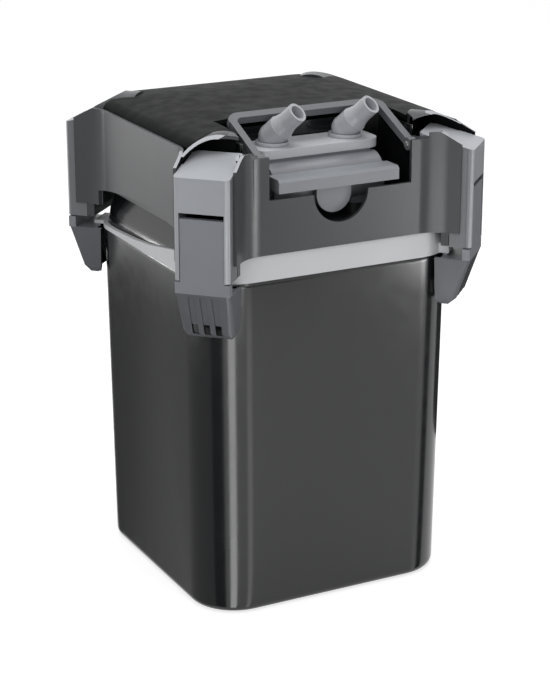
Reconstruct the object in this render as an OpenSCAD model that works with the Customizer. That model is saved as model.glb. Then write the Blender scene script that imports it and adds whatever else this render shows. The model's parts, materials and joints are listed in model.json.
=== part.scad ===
// Canister filter for an aquarium: a square canister with a pump head that four corner clamps hold.
// Millimetres. The origin is the centre of the underside. +X runs right along the front, +Y to the back.
// The tap block and the hose tails are at the front, on -Y.

/* [Canister] */
// Width of the square canister at its rim
body_w = 225; // [215:1:240]
// Corner radius of the canister at its rim
body_r = 39; // [34:1:44]
// How far each side leans in from the rim to the base
body_draft = 2.7; // [1:0.1:4]
// Height of the canister's rim above the ground
body_h = 275.5; // [272:0.5:340]
// Wall of the canister
wall = 3.2; // [2.5:0.1:4]
// Thickness of the canister's floor
floor_t = 5; // [4:0.5:7]
// How far the rubber pads stand out under the floor
pad_out = 1; // [0.5:0.1:2]
// Radius of a rubber pad
pad_r = 9; // [7:0.5:12]

/* [Collar] */
// Height of the pale collar at the front
collar_h = 20; // [16:0.5:24]
// How far the collar stands out past the canister's wall
collar_out = 1; // [0.5:0.1:1.5]
// Thickness of the collar's wall
collar_wall = 4; // [3.5:0.1:5]

/* [Head] */
// How far the head's side panels stand out past the canister's wall
panel_out = 3; // [2:0.1:4]
// Thickness of the head's panels
panel_t = 3; // [2:0.1:3.5]
// Top edge of the front panel above the rim
front_top = 95.5; // [94:0.5:98]
// Top edge of the side panels above the rim
side_top = 100.5; // [99:0.5:103]
// Height of the lid's crown above the rim
lid_crown = 111.5; // [110:0.5:116]
// Half the width of the recess for the tap lever
recess_hw = 61.5; // [60:0.5:61.5]
// Radius of the finger cut-out under the tap lever
finger_r = 23.5; // [20:0.5:24]

/* [Corner clamps] */
// How far a corner column's face stands out past the canister's corner
post_reach = 27; // [25:0.5:31]
// Half the width of a corner column
post_hw = 22; // [21:0.5:24]
// Half the width of a clamp's upper flap
flap_hw = 17.3; // [15:0.1:17.5]
// Radius of a clamp's hinge pin
clamp_pin_r = 2; // [1.5:0.1:2.4]
// Length of a clamp's grip below its crease
grip_h = 38; // [32:0.5:44]

/* [Tap] */
// Half the width of the tap lever
lever_hw = 52; // [50.5:0.5:53]
// Radius of the rotary barrel
barrel_r = 14; // [13:0.5:14]
// Radius of a port through the barrel
port_r = 5.5; // [4:0.1:5.5]
// Distance between the two hose tails
tail_pitch = 64; // [60:1:66]
// Outer radius of a hose tail at its tip
tail_r = 8; // [7.4:0.1:8.4]
// Bore radius of a hose tail
tail_bore = 5.8; // [4.5:0.1:6.2]
// Length of a hose tail from its elbow's centre
tail_len = 32; // [30:0.5:33]
// Tilt of a hose tail above level, in degrees
tail_tilt = 42; // [40:1:46]
// Turn of the hose tails to the right of straight ahead, in degrees
tail_turn = 28; // [0:1:40]

/* [Carry handle] */
// Half the distance between the handle's legs
handle_hw = 65; // [64.5:0.5:65.5]
// Length of a leg from its pivot to the cross bar
handle_len = 56; // [55:0.5:58]
// Tilt of the resting handle above level, in degrees
handle_tilt = 23.3; // [22:0.1:26]

/* [Pump] */
// Distance of the pump's axis behind the centre
pump_y = 25; // [20:1:32]
// Outer radius of the sealed motor pot
pot_r = 36; // [30:1:38]
// Radius of the magnet rotor
rotor_r = 12.5; // [10:0.5:13]
// Radius of the impeller's blades
blade_r = 22; // [16:0.5:23]
// Number of impeller blades
blade_n = 6; // [4:1:8]

/* [Baskets] */
// Height of one media basket
basket_h = 80; // [60:1:80]
// Gap between a basket and the canister's wall
basket_gap = 4.5; // [3.5:0.1:8]
// Wall of a basket
basket_t = 2; // [1.6:0.1:3]
// Outer radius of the down pipe
pipe_r = 12; // [10:0.5:12.5]
// Wall of the pipes
pipe_t = 2.5; // [2:0.1:3]

/* [Hidden] */
$fn = 64;
eps = 0.01;
half = body_w / 2;
seat = 0.3;          // gap where two bodies lie close
slip = 0.05;         // radial running clearance
corner_s = (half - body_r) * sqrt(2) + body_r;  // the canister's corner, measured along the diagonal
post_s = round(corner_s + post_reach);

// Collar and seal
collar_w = body_w + 2 * collar_out;
collar_r = body_r + collar_out;
collar_in = collar_w - 2 * collar_wall;
collar_top = body_h + collar_h;
collar_back = body_h + 2.5;
ledge_w = body_w - 2 * wall - 0.6;
ledge_in = ledge_w - 12;
ledge_top = body_h + 1.5;
seal_t = 2.8;
base_z = ledge_top + seal_t;
lug_s = corner_s + 7.5;
lug_hw = 12;
pad_x = half - 32.5;

// Head base: the dark housing that closes the canister
plate_t = 3.5;
plate_top = base_z + plate_t;
base_w = collar_in - 1;
base_r = collar_r - collar_wall - 0.5;
deck_z = body_h + 32.5;

// Head frame
panel_y = half + panel_out;
panel_in = panel_y - panel_t;
frame_z = collar_top + 0.5;
front_z = body_h + front_top;
side_z = body_h + side_top;
crown_z = body_h + lid_crown;
sweep_r = 30;        // radius where a panel sweeps out into a corner column
post_t = 2.5;
post_out = post_hw + post_t;
sweep_s = post_s - 9;       // where the sweep ends, along the diagonal
arch_z = body_h + 90.5;
arch_peak = crown_z - 1;
arch_front = post_s - 7;
arch_back = post_s - 44;
niche_s = post_s - 57;
foot_s = post_s - 33;
side_arch = body_h + 40;
side_arch_r = 435;
side_arch_hw = half - 32.5;
deck_t = 3;

// Corner columns: cap and clamp
cap_z = body_h + 60.5;
cap_front_z = body_h + 87;
cap_back_z = body_h + 97.5;
cap_in = niche_s + 13;
rail_z = body_h + 8.7;
rail_back = post_s - 17.5;
pin_s = post_s - 8;
pin_z = body_h + 50;
flap_top = body_h + 56;
flap_face = post_s - 0.8;
flap_t = 4;
crease_z = body_h - 1.5;
wide_z = body_h + 7.5;
wide_hw = post_hw - 0.5;
grip_z = crease_z - grip_h;
grip_back = corner_s - 1.9;
claw_s = corner_s + 2.6;
claw_z = body_h + 0.5 - seat;
groove_n = 3;
groove_pitch = 9.3;
groove_w = 5;
grip_lean = 11;
groove_tilt = atan(grip_lean / (grip_h - 5));

// Tap
tap_y = 32.5 - half;
tap_z = body_h + 64.5;
bore_r = barrel_r + slip;
tap_r = 18;
tap_hw = 48;
stub_r = 6;
tap_deck = body_h + 84.5;
tap_plate_t = 7.3;
tap_top = tap_deck + tap_plate_t;
tap_front = 30.5 - half;
tap_back = 66.5 - half;
tail_y = 50 - half;
spigot_r = 9.2;
spigot_z = tap_deck - 8;
ring_t = 2.7;
ring_r = 13;
elbow_z = tap_top + ring_t + 3.5;
elbow_r = 10.5;
lever_front = half + 0.5;
lever_bottom = body_h + 65.8;
lever_top = body_h + 76.2;
lever_gap = 0.5;
tongue_r = 15;
recess_z = body_h + 62.5;

// Carry handle
hinge_y = 5.5 - panel_in;
hinge_z = body_h + 91;
leg_w = 6;
leg_d = 7;
eye_r = 5;
handle_pin_r = 2;
ear_in = handle_hw + leg_w / 2 + 0.4;
ear_t = 3.6;
well_hw = ear_in + ear_t + 0.5;
well_back = 68.5 - half;
well_t = 2.5;
well_out = well_hw + well_t + seat;

// Lid
lid_w = 2 * panel_in - 2 * seat;
lid_t = 2.5;
lid_low = front_z - 9;
well_front_z = front_z - 5;
well_side_z = side_z + 2;
well_back_z = crown_z - 9;

// Pump
rotor_top = body_h + 54;
pot_top = body_h + 86.5;
pot_flange = 42;
volute_in = 28;
volute_t = 3;
volute_z = base_z - 17.8;
shaft_r = 1.5;
inlet_r = 9;
bush_r = 5;
riser_r = 11;
pipe_x = tail_pitch / 2;

// Baskets
basket_w = body_w - 2 * body_draft - 2 * wall - 2 * basket_gap;
basket_r = body_r - wall - basket_gap;
basket_z = 10;
sleeve_r = pipe_r + 2;
gland_z = body_h + 18.5;
gland_r = 7;
cable_r = 3.5;

// ---- helpers ----

module rounded_square(w, r, d = 0) {
    depth = d > 0 ? d : w;
    square([w, depth - 2 * r], center = true);
    square([w - 2 * r, depth], center = true);
    for (x = [-1, 1], y = [-1, 1]) {
        translate([x * (w / 2 - r), y * (depth / 2 - r)]) circle(r);
    }
}

module slab(w, r, z, t = eps) {
    translate([0, 0, z]) linear_extrude(t) rounded_square(w, r);
}

module ring(w_out, r_out, w_in, r_in, z, t) {
    translate([0, 0, z]) linear_extrude(t) difference() {
        rounded_square(w_out, r_out);
        rounded_square(w_in, r_in);
    }
}

// Corner frames: local X points outwards along the diagonal, corner 0 is front left, then counter-clockwise
module at_corner(k) {
    rotate([0, 0, -135 + 90 * k]) children();
}

module at_corners() {
    for (k = [0:3]) at_corner(k) children();
}

// A bar along the corner's diagonal
module radial_box(s0, s1, hw, z0, z1) {
    translate([s0, -hw, z0]) cube([s1 - s0, 2 * hw, z1 - z0]);
}

module at_tails() {
    for (x = [-pipe_x, pipe_x]) translate([x, tail_y, 0]) children();
}

module x_cylinder(r, x0, x1) {
    translate([x0, 0, 0]) rotate([0, 90, 0]) cylinder(r = r, h = x1 - x0);
}

function arc_points(cx, cy, r, a0, a1, n) = [for (i = [0:n]) let (a = a0 + (a1 - a0) * i / n) [cx + r * cos(a), cy + r * sin(a)]];

function turn(p, a) = [p[0] * cos(a) - p[1] * sin(a), p[0] * sin(a) + p[1] * cos(a)];

// Plan of the head: straight sides that sweep out into the four corner columns
function sweep_points(side, hw, r) =
    let (x_meet = side - sqrt(2) * hw, reach = r * tan(22.5), cx = x_meet - reach)
    arc_points(cx, -side - r, r, 90, 45, 8);

function quarter(side, hw, r, s_end) =
    let (side_a = sweep_points(side, hw, r), side_b = [for (p = side_a) [-p[1], -p[0]]])
    concat(side_a, [turn([s_end, -hw], -45)], [turn([s_end, hw], -45)], [for (i = [len(side_b) - 1:-1:0]) side_b[i]]);

module head_plan(side, hw, r, s_end) {
    q = quarter(side, hw, r, s_end);
    polygon([for (k = [0:3]) for (p = q) turn(p, 90 * k)]);
}

module arch_plan(hw, peak) {
    // Profile across a corner column: straight sides with a half ellipse on top
    rise = peak - arch_z;
    polygon(concat([[0, -hw], [0, hw]], [for (i = [0:24]) [rise * sin(i * 7.5), hw * cos(i * 7.5)]]));
}

// The arch as a bar along the diagonal
module arch_bar(s0, s1, hw, peak) {
    translate([s0, 0, arch_z]) rotate([0, -90, 180]) linear_extrude(s1 - s0) arch_plan(hw, peak);
}

// ---- canister ----

module canister_shell() {
    color("#2b2d30") difference() {
        union() {
            hull() {
                slab(body_w - 2 * body_draft - 10, body_r - 5, pad_out);
                slab(body_w - 2 * body_draft - 3, body_r - 1.5, pad_out + 1.8);
                slab(body_w - 2 * body_draft, body_r, pad_out + 6);
                slab(body_w, body_r, body_h - eps);
            }
        }
        hull() {
            slab(body_w - 2 * body_draft - 2 * wall, body_r - wall, pad_out + floor_t);
            slab(body_w - 2 * wall, body_r - wall, body_h);
        }
        for (x = [-1, 1], y = [-1, 1]) {
            translate([x * pad_x, y * pad_x, -1]) cylinder(r = pad_r + 0.1, h = 1 + pad_out + 2);
        }
    }
    color("#2b2d30") for (x = [-60, 60]) {
        translate([x - 1.5, -70, pad_out + floor_t]) cube([3, 140, basket_z - pad_out - floor_t]);
    }
}

module rubber_pads() {
    color("#1a1a1b") for (x = [-1, 1], y = [-1, 1]) {
        translate([x * pad_x, y * pad_x, 0]) cylinder(r = pad_r, h = pad_out + 2);
    }
}

module collar() {
    color("#c9cacc") difference() {
        union() {
            ring(collar_w, collar_r, collar_in, collar_r - collar_wall, body_h, collar_h);
            ring(collar_in + eps, collar_r - collar_wall, ledge_in, body_r - wall - 6.3, body_h, 1.5);
            ring(ledge_w, body_r - wall - 0.3, ledge_in, body_r - wall - 6.3, body_h - 7.5, 7.5 + eps);
            at_corners() radial_box(corner_s - 0.8, lug_s, lug_hw, body_h + 0.5, body_h + 8.5);
        }
        collar_slope();
    }
}

// Cuts the collar's top down along the sides and across the back
module collar_slope() {
    run = collar_top - collar_back;
    translate([-body_w, 0, 0]) rotate([90, 0, 90]) linear_extrude(2 * body_w) polygon([
        [-78, collar_top + 1], [-78, collar_top], [-45, collar_top - 0.3 * run], [-10, collar_top - 0.64 * run],
        [20, collar_top - 0.81 * run], [60, collar_top - 0.93 * run], [body_w, collar_back], [body_w, collar_top + 1]]);
}

module rim_seal() {
    color("#141414") ring(ledge_w - 2, body_r - wall - 1.3, ledge_in + 3, body_r - wall - 4.8, ledge_top, seal_t);
}

// ---- head ----

module head_base() {
    color("#1f2023") difference() {
        union() {
            slab(base_w, base_r, base_z, plate_t);
            difference() {
                hull() {
                    slab(base_w, base_r, plate_top - 1);
                    slab(base_w - 3, base_r - 1.5, plate_top + 8);
                    slab(base_w - 11, base_r - 5, deck_z - 6);
                    slab(base_w - 17, base_r - 8, deck_z - eps);
                }
                hull() {
                    slab(base_w - 6, base_r - 3, plate_top - 2);
                    slab(base_w - 23, base_r - 11, deck_z - 3);
                }
            }
        }
        translate([0, pump_y, 0]) {
            translate([0, 0, base_z - 1]) cylinder(r = rotor_r + 1.5, h = plate_t + 2);
            translate([0, 0, deck_z - 10]) cylinder(r = pot_r + 1, h = 11);
        }
        for (x = [-pipe_x, pipe_x]) translate([x, tap_y, 0]) {
            translate([0, 0, base_z - 1]) cylinder(r = riser_r - pipe_t, h = plate_t + 2);
            translate([0, 0, deck_z - 10]) cylinder(r = riser_r + 0.5, h = 11);
        }
        translate([0, 90, gland_z]) rotate([-90, 0, 0]) cylinder(r = gland_r + slip, h = 30);
    }
}

module side_arch_cut() {
    // Opening under a side panel, cut along +X, with a slightly arched top edge
    intersection() {
        translate([half - 10, -side_arch_hw, frame_z - 1]) cube([40, 2 * side_arch_hw, 60]);
        translate([half - 10, 0, side_arch - side_arch_r]) rotate([0, 90, 0]) cylinder(r = side_arch_r, h = 40, $fn = 360);
    }
}

module head_frame() {
    color("#55575b") difference() {
        union() {
            difference() {
                translate([0, 0, frame_z]) linear_extrude(side_z - frame_z) difference() {
                    head_plan(panel_y, post_out, sweep_r, sweep_s);
                    head_plan(panel_in, post_hw, sweep_r + panel_t, sweep_s + 5);
                }
                for (k = [0:2]) rotate([0, 0, 90 * k]) side_arch_cut();
            }
            // Flange that closes the sweeps behind the columns
            translate([0, 0, front_z - 5]) linear_extrude(3) difference() {
                head_plan(panel_y - 1, post_out - 1, sweep_r + 1, sweep_s - 1);
                rounded_square(2 * panel_in, body_r);
                for (k = [0:3]) rotate(45 + 90 * k) translate([100, -post_hw - 1]) square([100, 2 * post_hw + 2]);
            }
            // Deck that rests on the head base
            translate([0, 0, deck_z]) linear_extrude(deck_t) rounded_square(2 * panel_in - 8, 30);
            translate([0, 0, deck_z]) linear_extrude(deck_t) square([60, 2 * panel_in + eps], center = true);
            difference() {
                at_corners() difference() {
                    union() {
                        arch_bar(niche_s, arch_front, post_out, arch_peak);
                        radial_box(niche_s, sweep_s - 9, post_out, deck_z, arch_z + eps);
                        radial_box(foot_s, sweep_s - 9, post_out, frame_z, deck_z + eps);
                    }
                    arch_bar(niche_s + 2.5, arch_front + 1, post_hw, arch_peak - 2.5);
                    radial_box(niche_s + 2.5, arch_front + 1, post_hw, deck_z + deck_t, arch_z + 1);
                    radial_box(foot_s + 2.5, arch_front + 1, post_hw, frame_z + deck_t, deck_z + deck_t + 1);
                }
                // Room for the tub round the tap
                translate([-well_out, -panel_in, deck_z + deck_t]) cube([2 * well_out, panel_in + well_back, 90]);
            }
            // Ears that carry the handle, and the ledge beside them
            for (m = [0, 1]) mirror([m, 0, 0]) {
                translate([ear_in, -panel_in - eps, hinge_z - 9]) cube([ear_t, panel_in + hinge_y + 5.5, 13.5]);
                translate([0, 0, front_z - 4]) linear_extrude(4) {
                    polygon([[ear_in + ear_t - eps, -panel_in - 1], [half - 31.5, -panel_in - 1],
                        [ear_in + ear_t - eps, hinge_y + 3]]);
                }
            }
            // Ledges that carry the lid
            for (k = [0:2]) rotate([0, 0, 90 * k]) {
                translate([panel_in - 4, -55, lid_low - 5]) cube([4 + eps, 110, 5]);
            }
        }
        // Front panel: lower top edge, recess and finger cut-out
        translate([20.5 - half, -panel_y - 1, front_z]) cube([body_w - 41, 24, 40]);
        translate([-recess_hw, -panel_y - 1, recess_z]) cube([2 * recess_hw, panel_t + 2, 60]);
        translate([0, -panel_in + 1, recess_z]) rotate([90, 0, 0]) cylinder(r = finger_r, h = panel_t + 3);
        // The columns are open to the front, and their arches lean back
        at_corners() {
            radial_box(150, post_s, post_hw, frame_z - 1, arch_peak);
            translate([arch_front, 0, arch_z]) rotate([0, atan((arch_peak - arch_z) / (arch_front - arch_back)), 0]) {
                translate([-60, -40, 0]) cube([120, 80, 60]);
            }
            translate([arch_front - 2, -40, frame_z - 1]) cube([20, 80, 110]);
        }
        // Bores for the motor pot, the risers and the handle's pins
        translate([0, pump_y, deck_z - 1]) cylinder(r = pot_r + 0.5, h = deck_t + 2);
        for (x = [-pipe_x, pipe_x]) translate([x, tap_y, deck_z - 1]) cylinder(r = riser_r + 0.5, h = deck_t + 2);
        translate([0, hinge_y, hinge_z]) x_cylinder(handle_pin_r, -80, 80);
    }
}

// Stack of outlines that rounds the lid's edge and rises to its crown
module lid_form($fn = 32) {
    hull() {
        slab(lid_w, body_r, lid_low);
        slab(lid_w, body_r, side_z);
        slab(lid_w - 5, body_r - 2.5, side_z + 3.4);
        slab(lid_w - 14, body_r - 7, side_z + 6);
        slab(lid_w - 34, body_r - 14, side_z + 7.6);
        slab(lid_w - 120, 20, crown_z - eps);
    }
}

module lid_hollow($fn = 32) {
    hull() {
        slab(lid_w - 2 * lid_t, body_r - lid_t, lid_low - 1);
        slab(lid_w - 2 * lid_t, body_r - lid_t, side_z - 1);
        slab(lid_w - 20, body_r - 10, side_z + 3);
        slab(lid_w - 122, 18, crown_z - lid_t - 0.6);
    }
}

module lid() {
    color("#18191b") difference() {
        lid_form();
        lid_hollow();
        translate([-well_hw, -half, deck_z]) cube([2 * well_hw, half + well_back, 120]);
        translate([12.5 - half, -half, deck_z]) cube([body_w - 25, 10, 120]);
        for (m = [0, 1]) mirror([m, 0, 0]) at_corner(0) {
            translate([niche_s - seat, 5, lid_low - 2]) cube([60, post_out + seat - 5, 60]);
        }
        at_corners() {
            arch_bar(niche_s - seat, arch_front + 9, post_out + seat, arch_peak + seat);
            radial_box(niche_s - seat, arch_front + 9, post_out + seat, lid_low - 2, arch_z + eps);
        }
    }
}

// Tub round the tap, under the opening in the lid
module tap_well() {
    front = -panel_in + seat;
    floor_z = deck_z + deck_t;
    color("#141517") {
        for (x = [-well_hw - well_t, well_hw]) {
            translate([x, front, floor_z]) cube([well_t, well_back + well_t - front, well_front_z - floor_z]);
            translate([x, -94, floor_z]) cube([well_t, well_back + well_t + 94, well_side_z - floor_z]);
        }
        translate([-well_hw - eps, well_back, floor_z]) {
            cube([2 * well_hw + 2 * eps, well_t, well_back_z - floor_z]);
        }
    }
}

// ---- corner columns ----

module corner_cap(k) {
    slope = atan((cap_back_z - cap_front_z) / (post_s - arch_back));
    round_r = 4;
    color("#8d8f93") at_corner(k) difference() {
        union() {
            difference() {
                radial_box(cap_in, post_s - round_r, post_hw - 0.2, cap_z, cap_back_z);
                radial_box(cap_in + 2.5, post_s - 5, post_hw - 2.7, cap_z - 1, cap_front_z - 4);
            }
            radial_box(post_s - 5, post_s, post_hw - round_r, cap_z, cap_back_z);
            for (t = [-1, 1]) {
                translate([post_s - round_r, t * (post_hw - round_r), rail_z]) {
                    cylinder(r = round_r, h = cap_back_z - rail_z);
                }
                translate([rail_back, t > 0 ? flap_hw + seat : -post_hw + 0.2, rail_z]) {
                    cube([post_s - round_r - rail_back, post_hw - 0.2 - flap_hw - seat, cap_z - rail_z + eps]);
                }
                translate([rail_back, t > 0 ? flap_hw + seat : -post_hw + round_r, rail_z]) {
                    cube([post_s - rail_back, post_hw - round_r - flap_hw - seat, cap_z - rail_z + eps]);
                }
            }
        }
        // Sloping top
        translate([post_s, 0, cap_front_z]) rotate([0, slope, 0]) translate([-80, -40, 0]) cube([120, 80, 40]);
        for (t = [-1, 1]) translate([cap_in, t * (post_hw - 0.2), cap_z + 20]) rotate([0, 0, 45]) {
            cube([7, 7, 90], center = true);
        }
        // Room for the arch beside the cap's top
        for (t = [-1, 1]) translate([cap_in + 11, t * (post_hw + 3.5), arch_z + 25]) cube([24, 10, 50], center = true);
        // Slot for the clamp, and the hinge pin's bore
        radial_box(rail_back - 1, post_s + 1, flap_hw + seat, rail_z - 1, cap_z);
        translate([pin_s, 0, pin_z]) rotate([90, 0, 0]) cylinder(r = clamp_pin_r, h = 2 * post_hw - 3, center = true);
    }
}

module clamp_pins() {
    color("#b9bbbe") at_corners() {
        translate([pin_s, 0, pin_z]) rotate([90, 0, 0]) cylinder(r = clamp_pin_r, h = 2 * post_hw - 3, center = true);
    }
}

// Outline of the grip, shrunk by cut for the hollow behind it
module grip_form(cut) {
    hull() {
        translate([0, 0, crease_z - cut]) linear_extrude(eps) {
            translate([grip_back - 9 * cut, -wide_hw + cut]) {
                square([flap_face - 3 - grip_back + 8 * cut, 2 * wide_hw - 2 * cut]);
            }
            for (t = [-1, 1]) translate([flap_face - 3 - cut, t * (wide_hw - 3 - cut)]) circle(3, $fn = 32);
        }
        translate([0, 0, grip_z + 5]) linear_extrude(eps) {
            translate([grip_back + 1 - 9 * cut, -wide_hw + 1 + cut]) {
                square([flap_face - grip_lean - grip_back - 5 + 9 * cut, 2 * wide_hw - 2 - 2 * cut]);
            }
            for (t = [-1, 1]) translate([flap_face - grip_lean - 3 - cut, t * (wide_hw - 5 - cut)]) circle(3, $fn = 32);
        }
        translate([0, 0, grip_z - 2 * cut]) linear_extrude(eps) {
            translate([grip_back + 2 - 9 * cut, -wide_hw + 4 + cut]) {
                square([flap_face - grip_lean - grip_back - 8 + 7 * cut, 2 * wide_hw - 8 - 2 * cut]);
            }
        }
    }
}

module clamp(k) {
    hole_z = grip_z + 3;
    color("#6d7076") at_corner(k) difference() {
        union() {
            // Flap between the rails, with the hinge barrel at its top
            radial_box(flap_face - flap_t, flap_face, flap_hw, crease_z, flap_top);
            radial_box(pin_s, flap_face, flap_hw, pin_z - 5, flap_top - 1);
            translate([pin_s, 0, pin_z]) rotate([90, 0, 0]) cylinder(r = 5.2, h = 2 * flap_hw, center = true);
            // Wide foot of the flap
            radial_box(flap_face - 6, flap_face, wide_hw, crease_z, wide_z);
            // Grip, hollow behind
            difference() {
                grip_form(0);
                grip_form(3);
            }
            // Claw under the collar's lug
            radial_box(claw_s, flap_face - 2, lug_hw - 1, crease_z - 5, crease_z + eps);
            radial_box(claw_s, lug_s - 1.5, lug_hw - 1, crease_z - 5, claw_z);
        }
        radial_box(grip_back - 5, claw_s, wide_hw - 3.5, grip_z - 1, crease_z + 5);
        // Grooves in the grip that end in slots
        for (i = [0:groove_n - 1]) {
            t = (i - (groove_n - 1) / 2) * groove_pitch;
            translate([flap_face, t, crease_z - 2]) rotate([0, groove_tilt, 0]) {
                translate([-1.2, -groove_w / 2, -grip_h + 6]) cube([10, groove_w, grip_h - 7]);
            }
            translate([flap_face - 20, t - groove_w / 2, hole_z]) cube([25, groove_w, 9]);
        }
        translate([pin_s, 0, pin_z]) rotate([90, 0, 0]) {
            cylinder(r = clamp_pin_r + slip, h = 2 * flap_hw + 2, center = true);
        }
    }
}

// ---- tap ----

module tap_housing() {
    color("#3a3c40") difference() {
        union() {
            translate([0, tap_y, tap_z]) x_cylinder(tap_r, -tap_hw, tap_hw);
            for (x = [-pipe_x, pipe_x]) {
                translate([x - 13, tap_y + 2, tap_z + 8]) cube([26, 31, tap_deck - tap_z - 8]);
                translate([x, tap_y, tap_z - tap_r - 2]) cylinder(r = riser_r, h = tap_r);
            }
            translate([-tap_hw + 3, tap_front + 2, tap_deck - 4]) cube([2 * tap_hw - 6, tap_back - tap_front - 4, 4]);
        }
        translate([0, tap_y, tap_z]) x_cylinder(bore_r, -tap_hw - 1, tap_hw + 1);
        for (x = [-pipe_x, pipe_x]) {
            translate([x, tap_y, tap_z - tap_r - 3]) cylinder(r = port_r, h = 2 * tap_r - 1);
            translate([x, tap_y, tap_z + tap_r - 4]) rotate([-90, 0, 0]) cylinder(r = 4, h = tail_y - tap_y);
            translate([x, tail_y, spigot_z]) cylinder(r = spigot_r + 0.1, h = 20);
        }
    }
}

module tap_plate() {
    color("#b4b6b9") difference() {
        translate([0, (tap_front + tap_back) / 2, tap_deck]) {
            linear_extrude(tap_plate_t) rounded_square(2 * lever_hw + 4, 11, tap_back - tap_front);
        }
        at_tails() translate([0, 0, tap_deck - 1]) cylinder(r = spigot_r + 0.1, h = tap_plate_t + 2);
    }
}

module tap_barrel() {
    color("#d8d9db") translate([0, tap_y, tap_z]) difference() {
        union() {
            x_cylinder(barrel_r, -tap_hw, tap_hw);
            x_cylinder(stub_r, -lever_hw + 0.5, lever_hw - 0.5);
        }
        for (x = [-pipe_x, pipe_x]) translate([x, 0, -20]) cylinder(r = port_r, h = 40);
        for (x = [-tap_hw + 5, -10, 10, tap_hw - 5]) seal_groove(x, barrel_r + 1, barrel_r - 1.6);
    }
}

module seal_groove(x, r_out, r_in) {
    translate([x - 1.1, 0, 0]) difference() {
        x_cylinder(r_out, 0, 2.2);
        x_cylinder(r_in, -1, 3.2);
    }
}

module barrel_seals() {
    color("#141414") translate([0, tap_y, tap_z]) {
        for (x = [-tap_hw + 5, -10, 10, tap_hw - 5]) seal_groove(x, barrel_r, barrel_r - 1.6);
    }
}

module tap_lever() {
    back_r = tap_r + lever_gap;
    front = -lever_front - tap_y;
    low = lever_bottom - tap_z;
    high = lever_top - tap_z;
    color("#7f8186") translate([0, tap_y, tap_z]) difference() {
        union() {
            translate([-lever_hw, 0, 0]) rotate([90, 0, 90]) linear_extrude(2 * lever_hw) difference() {
                polygon([[front, low], [front, high - 2], [front + 2, high], [0, high], [0, low]]);
                circle(back_r);
            }
            for (m = [0, 1]) mirror([m, 0, 0]) {
                x_cylinder(10, tap_hw + 0.4, lever_hw);
                translate([tap_hw + 0.4, front + 4, low]) cube([lever_hw - tap_hw - 0.4, -front - 4, high - low - 1.5]);
            }
            // Tongue that a finger lifts through the cut-out
            translate([0, front + 13, 0]) rotate([90, 0, 0]) linear_extrude(4) {
                translate([-tongue_r, low - 7]) square([2 * tongue_r, 8]);
                translate([0, low - 7]) circle(tongue_r);
            }
        }
        x_cylinder(back_r, -tap_hw - 0.4, tap_hw + 0.4);
        x_cylinder(stub_r, -lever_hw - 1, lever_hw + 1);
    }
}

module tail(x) {
    color("#9fa1a5") translate([x, tail_y, 0]) difference() {
        union() {
            translate([0, 0, spigot_z + 0.5]) cylinder(r = spigot_r, h = elbow_z - spigot_z);
            intersection() {
                union() {
                    cylinder(r = elbow_r - 0.5, h = elbow_z);
                    translate([0, 0, elbow_z]) sphere(r = elbow_r);
                    translate([0, 0, elbow_z]) rotate([90 - tail_tilt, 0, tail_turn]) tail_outside();
                }
                translate([-50, -50, tap_top + ring_t + seat]) cube(100);
            }
        }
        translate([0, 0, spigot_z - 1]) cylinder(r = tail_bore, h = elbow_z - spigot_z + 1);
        translate([0, 0, elbow_z]) sphere(r = tail_bore + 0.4);
        translate([0, 0, elbow_z]) rotate([90 - tail_tilt, 0, tail_turn]) cylinder(r = tail_bore, h = tail_len + 1);
        translate([0, 0, tail_seal_z()]) rotate_extrude() translate([spigot_r - 1.4, 0]) square([3, 2.4]);
    }
}

function tail_seal_z() = tap_deck + 1;

module tail_outside() {
    cylinder(r = elbow_r - 0.2, h = 12);
    translate([0, 0, 12]) cylinder(r1 = tail_r + 1.9, r2 = tail_r, h = tail_len - 24);
    cylinder(r = tail_r, h = tail_len);
}

module tail_seal(x) {
    color("#141414") translate([x, tail_y, tail_seal_z()]) rotate_extrude() {
        translate([spigot_r - 1.4, 0]) square([1.4, 2.4]);
    }
}

module tail_rings() {
    color("#a6a8ab") at_tails() translate([0, 0, tap_top]) difference() {
        cylinder(r = ring_r, h = ring_t);
        translate([0, 0, -1]) cylinder(r = spigot_r + 0.1, h = ring_t + 2);
    }
}

// ---- carry handle ----

module carry_handle() {
    color("#8a8c90") translate([0, hinge_y, hinge_z]) rotate([handle_tilt, 0, 0]) difference() {
        union() {
            for (m = [0, 1]) mirror([m, 0, 0]) {
                translate([handle_hw, 0, 0]) x_cylinder(eye_r, -leg_w / 2, leg_w / 2);
                translate([handle_hw - leg_w / 2, 0, -leg_w / 2]) cube([leg_w, handle_len - 3, leg_w]);
                translate([handle_hw - 3, handle_len - 3, -3]) cylinder(r = leg_w - 3, h = 6);
                translate([handle_hw - 8, handle_len - 8, -3]) bend();
            }
            translate([-handle_hw + 8, handle_len - 3.5, -3]) cube([2 * handle_hw - 16, leg_d, 6]);
        }
        x_cylinder(handle_pin_r + slip, -80, 80);
    }
}

// Rounded corner between a leg and the cross bar
module bend() {
    intersection() {
        difference() {
            cylinder(r = 11.5, h = 6);
            translate([0, 0, -1]) cylinder(r = 4.5, h = 8);
        }
        cube([12, 12, 6]);
    }
}

module handle_pins() {
    color("#b9bbbe") translate([0, hinge_y, hinge_z]) {
        for (m = [0, 1]) mirror([m, 0, 0]) {
            x_cylinder(handle_pin_r, handle_hw - leg_w / 2 - 1, ear_in + ear_t);
        }
    }
}

// ---- pump ----

module riser_pipes() {
    color("#26282b") for (x = [-pipe_x, pipe_x]) translate([x, tap_y, plate_top]) difference() {
        cylinder(r = riser_r, h = tap_z - tap_r - 2 - plate_top);
        translate([0, 0, -1]) cylinder(r = riser_r - pipe_t, h = 60);
    }
}

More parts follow.
